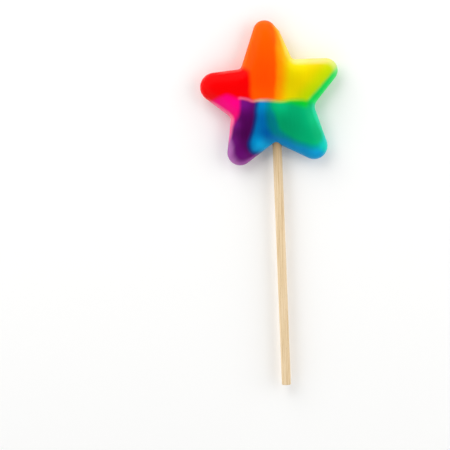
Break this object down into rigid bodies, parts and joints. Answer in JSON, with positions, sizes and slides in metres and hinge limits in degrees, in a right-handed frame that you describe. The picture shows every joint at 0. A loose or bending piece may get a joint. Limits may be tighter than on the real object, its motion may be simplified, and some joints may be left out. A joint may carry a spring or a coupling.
{
  "type": "lollipop",
  "caption": "Star-shaped rainbow lollipop: a thick pressed boiled-sugar star with rounded arms on a round birch stick, lying face up.",
  "frame": {"origin": "middle of the small flat spot on the star's back, which it rests on, under the star's centre", "axes": "+Y along the stick towards the star's top arm, +Z out of the star's face, +X to the right as seen on the face"},
  "size_m": [0.0898, 0.2414, 0.0152],
  "materials": {
    "boiled_sugar": "satin-smooth boiled sugar in seven flowing colours: red, orange, yellow, green, blue, purple and pink",
    "birch": "bare turned dowel, fine straight grain"
  },
  "bodies": {
    "root": {"candy_star": "boiled_sugar", "stick": "birch"}
  },
  "joints": []
}
